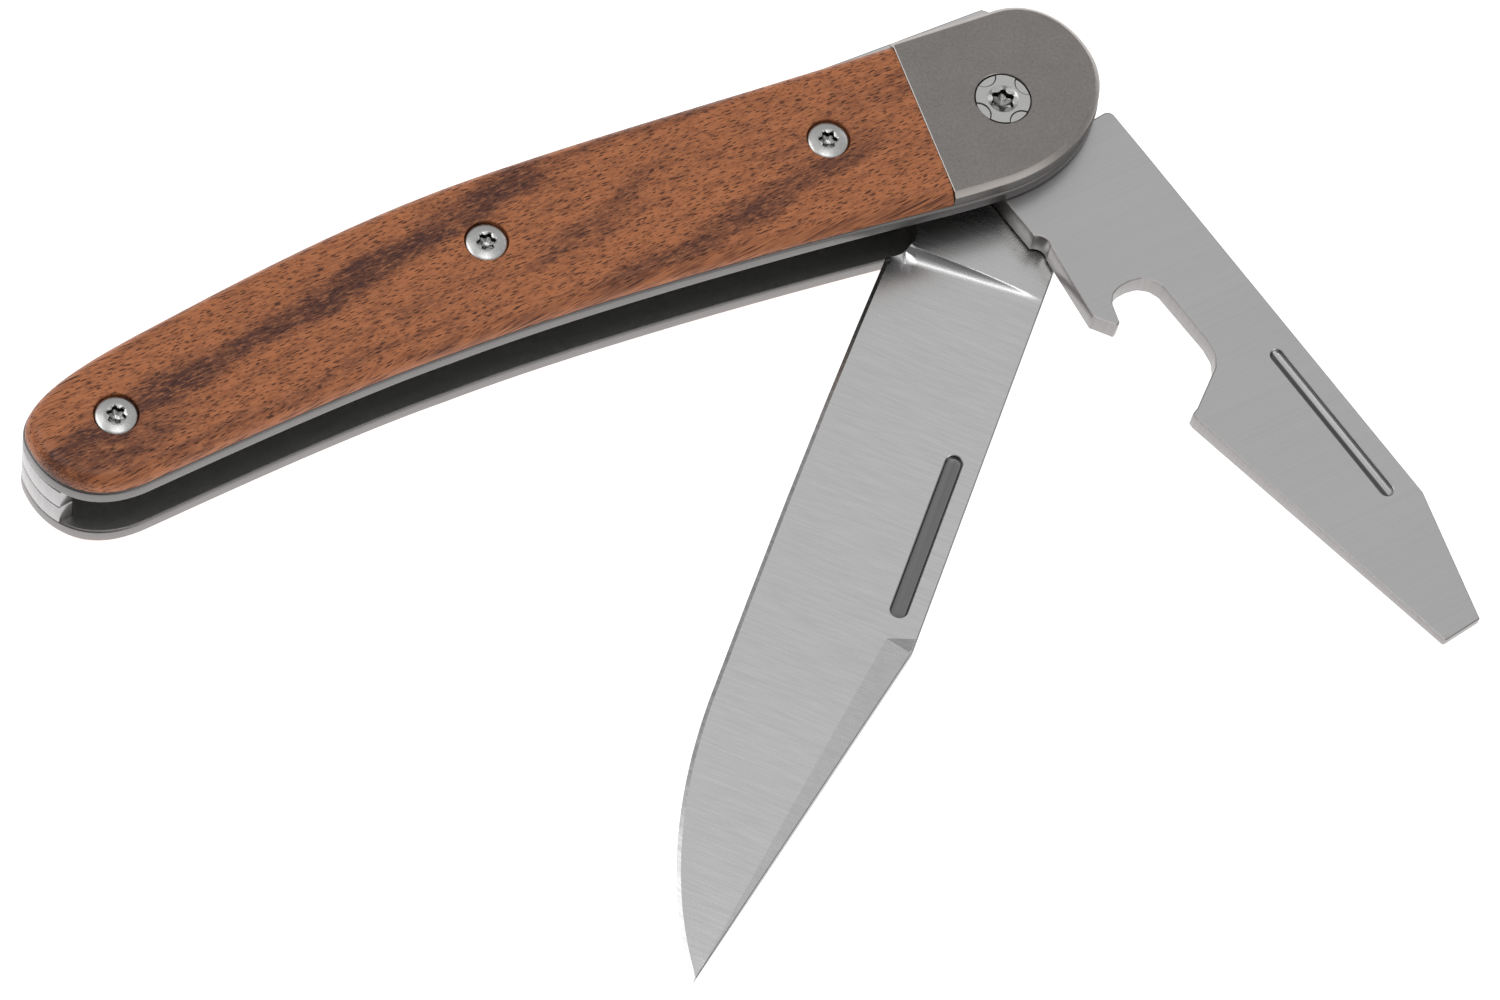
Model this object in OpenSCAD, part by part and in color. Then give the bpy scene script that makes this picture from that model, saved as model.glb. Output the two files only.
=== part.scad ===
// Two-implement slipjoint folding pocket knife.
// Knife lying flat on its rear (far) handle side.  +X runs from the tail of
// the handle towards the pivot end, +Y from the belly towards the back spring
// side, +Z is the thickness.  The origin is the pivot axis at the resting plane.

/* [Handle] */
// Thickness of each wood scale and bolster
scale_t = 1.7; // [1.6:0.05:1.8]
// Thickness of each steel liner
liner_t = 1.5; // [1.4:0.05:1.6]
// Clear width of the channel between the two liners
channel_w = 5.3; // [5.28:0.01:5.32]
// Rounding of the outer edge of the wood scales
scale_round = 1.5; // [0.6:0.05:1.5]
// Width of the 45 degree chamfer round the bolsters
bolster_chamfer = 0.45; // [0.2:0.05:0.6]
// How far the scales and bolsters sit inside the liner's outline
scale_inset = 0.15; // [0.1:0.05:0.3]

/* [Tools] */
// Thickness of the main blade and of the opener at the tang
tool_t = 2.4; // [2.3:0.02:2.4]
// Length of the main blade from the pivot axis to its point
blade_len = 84.7; // [83:0.1:85]
// Length of the opener from the pivot axis to its screwdriver tip
opener_len = 60.4; // [58:0.1:62]
// How far the blade is opened from its folded position, in degrees
blade_open = 45.2; // [45.2:0.1:45.2]
// How far the opener is opened from its folded position, in degrees
opener_open = 100.4; // [100.4:0.1:100.4]
// Depth of the nail nicks
nick_depth = 0.5; // [0.3:0.05:0.6]

/* [Pivot] */
// Outer radius of the pivot barrel
pivot_r = 2.0; // [1.9:0.05:2.0]
// Running clearance between the barrel and the tools
pivot_gap = 0.04; // [0.02:0.01:0.08]
// Radius of the pivot heads
pivot_head_r = 2.42; // [2.35:0.01:2.45]
// Thickness of each washer
washer_t = 0.1; // [0.08:0.01:0.1]
// Outer radius of the washers
washer_r = 3.9; // [3.5:0.1:4.0]

/* [Springs] */
// How far the spring noses are lifted by the part-open tools
spring_lift = 1.8; // [1.8:0.1:1.9]
// Radius of the pins that hold the springs
spring_pin_r = 1.0; // [0.9:0.05:1.0]

/* [Scale screws] */
// Radius of the domed heads
screw_head_r = 1.73; // [1.65:0.01:1.75]
// Radius of the counterbores round the heads
screw_cbore_r = 1.9; // [1.85:0.01:2.0]
// Radius of the threaded shanks
screw_shank_r = 0.9; // [0.8:0.05:0.95]

/* [Hidden] */
$fn = 64;

side_t = scale_t + liner_t;             // one side of the handle
total_t = 2 * side_t + channel_w;       // whole thickness
z_far = side_t;                         // inner face of the far liner
z_near = side_t + channel_w;            // inner face of the near liner
z_mid = total_t / 2;
play = (channel_w - 2 * tool_t - 3 * washer_t) / 5;
z_blade = z_far + washer_t + play;
z_opener = z_near - washer_t - play - tool_t;
spring_t = channel_w / 2 - 0.05;
pivot_y = 0;
screw_xy = [[-15.9, 2.0], [-47.3, 3.7], [-82.4, 0.1]];
mid_pin = [-47.3, 8.2];
tail_pin = [-83.4, 3.2];
dowel_xy = [[-3.6, 5.6], [-4.2, -5.2]];
seat_y = 4.4;        // half width across the tang flats, and the spring's seat
tang_r = 5.9;        // cam radius of the tangs
nose_x = 4.3;        // front end of the springs

// ---- curves ---------------------------------------------------------------
function bez(p, n) = [for (i = [0 : n - 1]) let (t = i / n, u = 1 - t)
    u*u*u*p[0] + 3*u*u*t*p[1] + 3*u*t*t*p[2] + t*t*t*p[3]];
function unit(v) = v / norm(v);
// drop the height y by an amount that grows along the cantilever from x0 to x1
function bend(p, x0, x1, lift) = [for (q = p) let (
    t = q[0] <= x0 ? 0 : (q[0] - x0) / (x1 - x0))
    [q[0] - lift * 1.5 * (2*t - t*t) / (x1 - x0) * (q[1] - 7) * 1.0,
     q[1] + lift * (3*t*t - t*t*t) / 2]];

// outline of the handle, counter-clockwise: the pivot end, then the rest
top_joint = [-6.53, 8.9];
low_joint = [-8.22, -7.35];
nose_start = [low_joint, [-6.8, -7.47], [-5.4, -7.58], [-4, -7.65]];
nose_low = [[-4, -7.65], [4, -8.3], [9.6, -3.4], [9.6, 1.2]];
nose_top = [[9.6, 1.2], [9.6, 5.2], [7.2, 8.5], [3.4, 8.6]];
spine_front = [[3.4, 8.6], [0.1, 8.7], [-3.2, 8.8], top_joint];
spine_mid = [top_joint, [-20, 9.3], [-34, 10.3], [-46, 10.3]];
spine_rear = [[-46, 10.3], [-57, 10.3], [-68, 8.5], [-77, 7.05]];
tail_top = [[-77, 7.05], [-83.5, 6.0], [-90, 4.6], [-90, 0.9]];
tail_low = [[-90, 0.9], [-90, -3.6], [-87, -6.5], [-82, -6.1]];
belly_rear = [[-82, -6.1], [-76, -5.6], [-63, -4.4], [-54, -4.5]];
belly_front = [[-54, -4.5], [-41, -4.3], [-23, -5.7], low_joint];
front_pts = concat(bez(nose_start, 3), bez(nose_low, 18), bez(nose_top, 14),
    bez(spine_front, 4));
rear_pts = concat(bez(spine_mid, 14), bez(spine_rear, 14), bez(tail_top, 14),
    bez(tail_low, 16), bez(belly_rear, 12), bez(belly_front, 16));
handle_pts = concat(front_pts, rear_pts);

// part of the outline that ends on the joint between wood and bolster, moved
// inwards by d, while its two ends slide along the joint line and g from it
function joint_chain(pts, last, d, g) = let (
    u = unit(last - pts[0]), s = [u[1], -u[0]], n = len(pts))
    concat([pts[0] + d * u + g * s],
        [for (i = [1 : n - 1]) let (q = i == n - 1 ? last : pts[i + 1],
            a = unit(q - pts[i - 1])) pts[i] + d * [-a[1], a[0]]],
        [last - d * u + g * s]);
// slab with the plan joint_chain() whose edge follows rings of [height, inset]
module ringed(pts, last, rings, g) {
    m = len(rings);
    q = [for (r = rings) joint_chain(pts, last, r[1], g)];
    n = len(q[0]);
    p3 = [for (k = [0 : m - 1]) for (a = q[k]) [a[0], a[1], rings[k][0]]];
    polyhedron(points = p3, faces = concat(
        [[for (i = [0 : n - 1]) i]],
        [for (k = [0 : m - 2]) for (i = [0 : n - 1]) let (j = (i + 1) % n)
            [k*n + i, (k+1)*n + i, (k+1)*n + j, k*n + j]],
        [[for (i = [n - 1 : -1 : 0]) (m-1)*n + i]]), convexity = 6);
}
// turn a near (top) part over into its far (bottom) twin
module far_twin() { translate([0, 0, total_t]) mirror([0, 0, 1]) children(); }
// straight slot with round ends
module slot2(a, b, w) {
    d = unit(b - a);
    s = [-d[1], d[0]] * w / 2;
    union() {
        translate(a) circle(d = w);
        translate(b) circle(d = w);
        polygon([a + s, a - s, b - s, b + s]);
    }
}
// six-lobe driver socket, outer radius r
module six_lobe(r) {
    union() {
        circle(r = r * 0.74);
        for (k = [0 : 5]) rotate(k * 60 + 30) translate([r * 0.78, 0]) circle(r = r * 0.22);
    }
}

// ---- liners ---------------------------------------------------------------
module liner(z0) {
    difference() {
        translate([0, 0, z0]) linear_extrude(height = liner_t) polygon(handle_pts);
        translate([0, 0, z0 - 1]) cylinder(r = pivot_r + 0.02, h = liner_t + 2);
        for (s = screw_xy)
            translate([s[0], s[1], z0 - 1]) cylinder(r = screw_shank_r + 0.02, h = liner_t + 2);
        for (s = [mid_pin, tail_pin])
            translate([s[0], s[1], z0 - 1]) cylinder(r = spring_pin_r + 0.01, h = liner_t + 2);
        for (s = dowel_xy)
            translate([s[0], s[1], z0 - 1]) cylinder(r = 0.62, h = liner_t + 2);
    }
}
module near_liner() { color("silver") liner(z_near); }
module far_liner() { color("silver") liner(scale_t); }

// ---- wood scales ----------------------------------------------------------
module near_scale_body() {
    z0 = total_t - scale_t;
    r = scale_round;
    difference() {
        ringed(rear_pts, low_joint, [[z0, scale_inset],
            [z0 + scale_t - r, scale_inset],
            [z0 + scale_t - r * 0.62, scale_inset + r * 0.08],
            [z0 + scale_t - r * 0.29, scale_inset + r * 0.29],
            [z0 + scale_t - r * 0.08, scale_inset + r * 0.62],
            [z0 + scale_t, scale_inset + r]], 0.03);
        for (s = screw_xy) translate([s[0], s[1], 0]) {
            translate([0, 0, z0 - 1]) cylinder(r = screw_shank_r + 0.1, h = 4);
            translate([0, 0, total_t - 1.0]) cylinder(r = screw_cbore_r, h = 3);
        }
    }
}
module near_wood_scale() { color([0.55, 0.32, 0.19]) near_scale_body(); }
module far_wood_scale() { color([0.55, 0.32, 0.19]) far_twin() near_scale_body(); }

// ---- bolsters -------------------------------------------------------------
module near_bolster_body() {
    z0 = total_t - scale_t;
    c = bolster_chamfer;
    difference() {
        ringed(front_pts, top_joint, [[z0, scale_inset],
            [z0 + scale_t - c, scale_inset], [total_t, scale_inset + c]], 0.03);
        translate([0, 0, z0 - 1]) cylinder(r = pivot_r + 0.02, h = 4);
        translate([0, 0, total_t - 1.1]) cylinder(r = pivot_head_r + 0.08, h = 3);
        for (s = dowel_xy) translate([s[0], s[1], z0 - 1]) cylinder(r = 0.62, h = 2.0);
    }
}
module near_bolster() { color([0.5, 0.48, 0.47]) near_bolster_body(); }
module far_bolster() { color([0.5, 0.48, 0.47]) far_twin() near_bolster_body(); }
module dowels() {
    for (s = dowel_xy) translate([s[0], s[1], z_near + 0.02])
        cylinder(r = 0.6, h = liner_t + 0.9);
}
module near_bolster_dowels() { color("gainsboro") dowels(); }
module far_bolster_dowels() { color("gainsboro") far_twin() dowels(); }

// ---- back springs ---------------------------------------------------------
spring_outer = concat([[nose_x - 0.7, 8.57]], bez(spine_front, 4), bez(spine_mid, 12),
    bez(spine_rear, 12), bez(tail_top, 12), [for (q = bez(tail_low, 10)) if (q[1] > -3.4) q]);
spring_inner = [[-88.75, -3.45], [-87.5, -3.3], [-87.25, -1.2], [-86.1, 0.4], [-83.0, 1.5],
    [-79.0, 3.4], [-74.0, 5.1], [-68.0, 6.0], [-60.0, 6.2], [-47.0, 6.2], [-34.0, 6.15],
    [-22.0, 5.95], [-13.0, 5.7], [-11.2, 5.5], [-9.6, 4.6], [-9.0, 4.45], [-4.0, 4.42],
    [0.0, 4.4], [nose_x - 0.5, 4.4], [nose_x, 4.8], [nose_x, 8.1]];
module spring(z0, lift) {
    pts = bend(concat([for (q = spring_outer) if (q[0] < nose_x - 0.2) q], spring_inner),
        mid_pin[0], nose_x, lift);
    difference() {
        translate([0, 0, z0]) linear_extrude(height = spring_t) polygon(pts);
        for (s = [mid_pin, tail_pin])
            translate([s[0], s[1], z0 - 1]) cylinder(r = spring_pin_r + 0.03, h = spring_t + 2);
    }
}
module near_spring() { color("lightgray") spring(z_near - 0.02 - spring_t, spring_lift); }
module far_spring() { color("lightgray") spring(z_far + 0.02, spring_lift); }
module spring_pin(p) {
    translate([p[0], p[1], scale_t + 0.02]) cylinder(r = spring_pin_r, h = total_t - 2*scale_t - 0.04);
}
module spring_mid_pin() { color("gainsboro") spring_pin(mid_pin); }
module spring_tail_pin() { color("gainsboro") spring_pin(tail_pin); }

// ---- tools ----------------------------------------------------------------
// tools are drawn open, along +X, with the cutting or working edge towards -Y
module tang_body(t) {
    intersection() {
        cylinder(r = tang_r, h = t, $fn = 96);
        translate([-10, -seat_y, 0]) cube([20, 2 * seat_y, t]);
    }
}
edge_belly = [[blade_len, 1.9], [78.5, -2.6], [70, -5.0], [60, -5.15]];
blade_pts = concat([[0, seat_y], [4.55, seat_y], [4.55, 8.6], [5.1, 9.2], [49.9, 9.2]],
    bez(edge_belly, 12), [[60, -5.15], [50, -5.2], [40, -5.2], [30, -5.1], [22, -4.95],
    [14.6, -4.75], [11.0, -seat_y], [0, -seat_y]]);
module main_blade_body() {
    t = tool_t;
    difference() {
        union() {
            tang_body(t);
            linear_extrude(height = t) polygon(blade_pts);
        }
        translate([0, 0, -1]) cylinder(r = pivot_r + pivot_gap, h = t + 2);
        // finger-side choil scoop
        translate([12.4, -5.25, -1]) cylinder(r = 2.25, h = t + 2);
        // flat grind on both faces, from under the back to a 0.4 mm edge
        for (m = [0, 1]) translate([0, 0, m * t]) mirror([0, 0, m])
            translate([13.6, 8.4, 0]) rotate([4.1, 0, 2]) translate([0, -30, -5]) cube([90, 30, 5]);
        // thinned back from the peak to the point
        for (m = [0, 1]) translate([0, 0, m * t]) mirror([0, 0, m])
            translate([49.8, 6.8, 0.12]) rotate([0, 0, -7.99]) rotate([-16, 0, 0])
                translate([-0.5, 0, -6]) cube([60, 12, 6]);
        // nail nicks
        for (z = [-1, t - nick_depth]) translate([0, 0, z])
            linear_extrude(height = nick_depth + (z < 0 ? 1 : 1)) slot2([32.0, 6.9], [46.9, 6.9], 1.5);
    }
}
opener_pts = [[0, seat_y], [4.55, seat_y], [4.55, 8.4], [5.1, 9.0], [48.5, 9.0],
    [opener_len, 5.6], [opener_len, 1.7], [32.5, -3.35], [32.0, -3.3], [31.75, -2.6],
    [31.9, -2.3], [29.5, 1.2], [28.5, 1.9], [27.0, 2.15], [20.9, 2.1], [20.0, 1.75], [19.3, 1.0],
    [19.0, 0.0], [18.95, -1.0], [19.2, -1.95], [19.9, -2.6], [21.7, -3.2],
    [21.85, -3.65], [20.05, -4.83], [12.5, -3.65], [11.2, -seat_y], [0, -seat_y]];
module bottle_opener_body() {
    t = tool_t;
    difference() {
        union() {
            tang_body(t);
            linear_extrude(height = t) polygon(opener_pts);
        }
        translate([0, 0, -1]) cylinder(r = pivot_r + pivot_gap, h = t + 2);
        translate([12.1, -4.75, -1]) cylinder(r = 1.1, h = t + 2);
        // taper on both faces towards the screwdriver tip
        for (m = [0, 1]) translate([0, 0, m * t]) mirror([0, 0, m])
            translate([10, -12, 0]) rotate([0, -0.86, 0]) translate([0, 0, -5]) cube([60, 30, 5]);
        for (z = [-1, t - nick_depth - 0.3]) translate([0, 0, z])
            linear_extrude(height = nick_depth + 1.3) slot2([31.5, 6.45], [46.6, 6.45], 1.2);
    }
}
module main_blade() {
    color([0.75, 0.75, 0.76]) translate([0, 0, z_blade]) rotate(180 + blade_open) main_blade_body();
}
module bottle_opener() {
    color([0.68, 0.68, 0.68]) translate([0, 0, z_opener]) rotate(180 + opener_open) bottle_opener_body();
}

// ---- pivot ----------------------------------------------------------------
module washer(z0) {
    translate([0, 0, z0]) difference() {
        cylinder(r = washer_r, h = washer_t);
        translate([0, 0, -1]) cylinder(r = pivot_r + 0.03, h = washer_t + 2);
    }
}
module near_washer() { color("goldenrod") washer(z_near - washer_t); }
module centre_washer() { color("goldenrod") washer((z_blade + tool_t + z_opener - washer_t) / 2); }
module far_washer() { color("goldenrod") washer(z_far); }
// flat pivot head with four crescents at the rim, a countersink and a socket;
// its face is at z = 0 and the head goes down
module pivot_head() {
    difference() {
        translate([0, 0, -1.0]) cylinder(r = pivot_head_r, h = 1.0);
        for (k = [0 : 3]) rotate(90 * k + 12) translate([2.75, 0, -0.12])
            cylinder(r = 1.15, h = 1);
        translate([0, 0, -0.25]) cylinder(r1 = 1.02, r2 = 1.35, h = 0.3);
        translate([0, 0, -0.8]) linear_extrude(height = 1) six_lobe(1.08);
    }
}
module pivot_screw() {
    color("silver") union() {
        translate([0, 0, total_t - 0.05]) pivot_head();
        translate([0, 0, total_t - 6.0]) cylinder(r = 1.1, h = 5.05);
    }
}
module pivot_barrel() {
    color("silver") difference() {
        union() {
            translate([0, 0, 0.05]) mirror([0, 0, 1]) pivot_head();
            translate([0, 0, 1.0]) cylinder(r = pivot_r, h = total_t - 1.0 - 1.15);
        }
        translate([0, 0, total_t - 6.3]) cylinder(r = 1.12, h = 6);
    }
}

// ---- scale screws ---------------------------------------------------------
// domed head with its crown at z = 0
module scale_screw() {
    union() {
        difference() {
            intersection() {
                translate([0, 0, -0.95]) cylinder(r = screw_head_r, h = 0.95);
                translate([0, 0, -4.2]) sphere(r = 4.2);
            }
            translate([0, 0, -0.6]) linear_extrude(height = 1) six_lobe(0.82);
            translate([0, 0, -0.12]) cylinder(r1 = 0.72, r2 = 0.9, h = 0.2);
        }
        translate([0, 0, -3.1]) cylinder(r = screw_shank_r, h = 2.2);
    }
}
module near_screws() {
    for (i = [0 : 2]) translate([screw_xy[i][0], screw_xy[i][1], total_t - 0.05])
        rotate([0, 0, 20 + 37 * i]) scale_screw();
}
module near_scale_screws() { color("silver") near_screws(); }
module far_scale_screws() { color("silver") far_twin() near_screws(); }

near_liner();
far_liner();
near_wood_scale();
far_wood_scale();
near_bolster();
far_bolster();
near_bolster_dowels();
far_bolster_dowels();
near_spring();
far_spring();
spring_mid_pin();
spring_tail_pin();
main_blade();
bottle_opener();
near_washer();
centre_washer();
far_washer();
pivot_barrel();
pivot_screw();
near_scale_screws();
far_scale_screws();
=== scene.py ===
"""Looks of a slip-joint pocket knife with a blade and a cap lifter, built around its CAD frame."""

import math

import bpy
import bmesh
import numpy as np
from mathutils import Matrix, Vector
from mathutils.geometry import delaunay_2d_cdt


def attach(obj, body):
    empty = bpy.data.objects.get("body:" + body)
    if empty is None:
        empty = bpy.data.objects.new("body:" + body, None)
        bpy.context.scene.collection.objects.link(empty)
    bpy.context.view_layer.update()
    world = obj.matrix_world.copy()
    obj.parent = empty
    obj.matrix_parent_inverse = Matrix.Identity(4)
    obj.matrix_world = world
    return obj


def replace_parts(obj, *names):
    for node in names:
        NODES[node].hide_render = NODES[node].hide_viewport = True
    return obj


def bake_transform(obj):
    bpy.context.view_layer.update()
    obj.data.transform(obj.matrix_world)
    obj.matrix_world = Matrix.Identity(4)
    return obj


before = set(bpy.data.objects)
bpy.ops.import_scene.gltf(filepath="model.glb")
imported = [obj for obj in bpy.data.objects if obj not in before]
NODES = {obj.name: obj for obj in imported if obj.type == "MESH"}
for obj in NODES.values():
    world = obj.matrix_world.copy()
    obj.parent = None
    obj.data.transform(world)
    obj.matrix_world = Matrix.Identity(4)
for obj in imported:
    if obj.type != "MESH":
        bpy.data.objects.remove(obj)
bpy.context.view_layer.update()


MM = 0.001

# ---------------------------------------------------------------- sizes, mm
SCALE_T, LINER_T, CHANNEL = 1.7, 1.5, 5.3
TOTAL = 2 * (SCALE_T + LINER_T) + CHANNEL
Z_FAR = SCALE_T + LINER_T
Z_NEAR = Z_FAR + CHANNEL
TOOL_T, SEAT, TANG_R = 2.4, 4.4, 5.9
Z_BLADE = Z_FAR + 0.14 + TOOL_T / 2
Z_OPENER = 5.96 + TOOL_T / 2
BLADE_OPEN, OPENER_OPEN = 45.2, 100.4
PIVOT_R, HEAD_R = 2.0, 2.42
SCREWS = [(-15.9, 2.0), (-47.3, 3.7), (-82.4, 0.1)]
MID_PIN, TAIL_PIN = (-47.3, 8.2), (-83.4, 3.2)
DOWELS = [(-3.6, 5.6), (-4.2, -5.2)]


# ---------------------------------------------------------------- outlines
def bez(p, n):
    t = (np.arange(n) / n)[:, None]
    p = np.array(p, float)
    return (1 - t) ** 3 * p[0] + 3 * (1 - t) ** 2 * t * p[1] + 3 * (1 - t) * t * t * p[2] + t ** 3 * p[3]


TOP_JOINT, LOW_JOINT = (-6.53, 8.9), (-8.22, -7.35)
NOSE_START = [LOW_JOINT, (-6.8, -7.47), (-5.4, -7.58), (-4, -7.65)]
NOSE_LOW = [(-4, -7.65), (4, -8.3), (9.6, -3.4), (9.6, 1.2)]
NOSE_TOP = [(9.6, 1.2), (9.6, 5.2), (7.2, 8.5), (3.4, 8.6)]
SPINE_FRONT = [(3.4, 8.6), (0.1, 8.7), (-3.2, 8.8), TOP_JOINT]
SPINE_MID = [TOP_JOINT, (-20, 9.3), (-34, 10.3), (-46, 10.3)]
SPINE_REAR = [(-46, 10.3), (-57, 10.3), (-68, 8.5), (-77, 7.05)]
TAIL_TOP = [(-77, 7.05), (-83.5, 6.0), (-90, 4.6), (-90, 0.9)]
TAIL_LOW = [(-90, 0.9), (-90, -3.6), (-87, -6.5), (-82, -6.1)]
BELLY_REAR = [(-82, -6.1), (-76, -5.6), (-63, -4.4), (-54, -4.5)]
BELLY_FRONT = [(-54, -4.5), (-41, -4.3), (-23, -5.7), LOW_JOINT]


def resample(p, step, closed=False):
    """Points at an even spacing along a polyline, its two ends kept."""
    p = np.array(p, float)
    q = np.vstack([p, p[:1]]) if closed else p
    s = np.concatenate([[0], np.cumsum(np.hypot(*np.diff(q, axis=0).T))])
    n = max(2, int(round(s[-1] / step)))
    t = np.linspace(0, s[-1], n + 1)
    r = np.column_stack([np.interp(t, s, q[:, 0]), np.interp(t, s, q[:, 1])])
    return r[:-1] if closed else r


def curve(parts, last=None, step=0.4, closed=False):
    p = np.vstack([bez(b, 120) for b in parts] + ([np.array([last], float)] if last is not None else []))
    return resample(p, step, closed)


HANDLE = curve([NOSE_START, NOSE_LOW, NOSE_TOP, SPINE_FRONT, SPINE_MID, SPINE_REAR,
                TAIL_TOP, TAIL_LOW, BELLY_REAR, BELLY_FRONT], step=0.35, closed=True)
FRONT = curve([NOSE_START, NOSE_LOW, NOSE_TOP, SPINE_FRONT], TOP_JOINT, 0.3)
REAR = curve([SPINE_MID, SPINE_REAR, TAIL_TOP, TAIL_LOW, BELLY_REAR, BELLY_FRONT], LOW_JOINT, 0.4)


def unit(v):
    v = np.array(v, float)
    return v / np.linalg.norm(v)


def normals(p, closed=True):
    """Inward normals of a counter-clockwise loop, with the mitre length."""
    p = np.array(p, float)
    a = p - np.roll(p, 1, 0)
    b = np.roll(p, -1, 0) - p
    a /= np.maximum(np.hypot(*a.T), 1e-9)[:, None]
    b /= np.maximum(np.hypot(*b.T), 1e-9)[:, None]
    n = np.column_stack([-(a + b)[:, 1], (a + b)[:, 0]])
    length = np.maximum(np.hypot(*n.T), 1e-6)
    n /= length[:, None]
    return n / np.maximum(length / 2, 0.5)[:, None]


def inset(p, d):
    return np.array(p) + normals(p) * (d if np.isscalar(d) else np.array(d)[:, None])


def joint_chain(p, d, g):
    """Part of the outline moved inwards by d, while its ends slide along the joint line, g from it."""
    u = unit(p[-1] - p[0])
    s = np.array([u[1], -u[0]])
    t = p[2:] - p[:-2]
    t /= np.hypot(*t.T)[:, None]
    mid = p[1:-1] + d * np.column_stack([-t[:, 1], t[:, 0]])
    a, b = p[0] + d * u + g * s, p[-1] - d * u + g * s
    n = max(3, int(np.hypot(*(p[-1] - p[0])) / 0.5))
    line = a[None] + (b - a)[None] * (np.arange(1, n) / n)[:, None]
    return np.vstack([[a], mid, [b], line[::-1]]), len(mid) + 2


def rounded(pts, radii, step=0.12):
    """A polygon whose corners are rounded, each by its own radius."""
    pts = np.array(pts, float)
    n, out = len(pts), []
    for i in range(n):
        r = radii[i] if not np.isscalar(radii) else radii
        p, a, b = pts[i], pts[i - 1], pts[(i + 1) % n]
        u, v = a - p, b - p
        lu, lv = np.hypot(*u), np.hypot(*v)
        u, v = u / lu, v / lv
        c = np.clip(u @ v, -1, 1)
        ang = math.acos(c)
        if r <= 0 or ang > 3.13:
            out.append(p)
            continue
        d = min(r / math.tan(ang / 2), 0.49 * lu, 0.49 * lv)
        r = d * math.tan(ang / 2)
        centre = p + unit(u + v) * r / math.sin(ang / 2)
        s, e = p + u * d, p + v * d
        a0, a1 = math.atan2(*(s - centre)[::-1]), math.atan2(*(e - centre)[::-1])
        turn = (a1 - a0 + math.pi) % (2 * math.pi) - math.pi
        k = max(2, int(abs(turn) * r / step) + 2)
        for j in range(k + 1):
            t = a0 + turn * j / k
            out.append(centre + r * np.array([math.cos(t), math.sin(t)]))
    return np.array(out)


def refine(p, step):
    """Extra points on the long sides of a loop, its corners kept."""
    out = []
    for a, b in zip(p, np.roll(p, -1, 0)):
        n = max(1, int(np.hypot(*(b - a)) / step))
        out += [a + (b - a) * k / n for k in range(n)]
    return np.array(out)


def circle(c, r, n):
    t = np.linspace(0, 2 * math.pi, n, endpoint=False)
    return np.column_stack([c[0] + r * np.cos(t), c[1] + r * np.sin(t)])


def inside(poly, q):
    """Which of the points q lie inside a polygon."""
    x, y = q[:, 0], q[:, 1]
    res = np.zeros(len(q), bool)
    for (x0, y0), (x1, y1) in zip(poly, np.roll(poly, -1, 0)):
        if y0 == y1:
            continue
        hit = (y0 > y) != (y1 > y)
        res ^= hit & (x < (x1 - x0) * (y - y0) / (y1 - y0) + x0)
    return res


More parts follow.
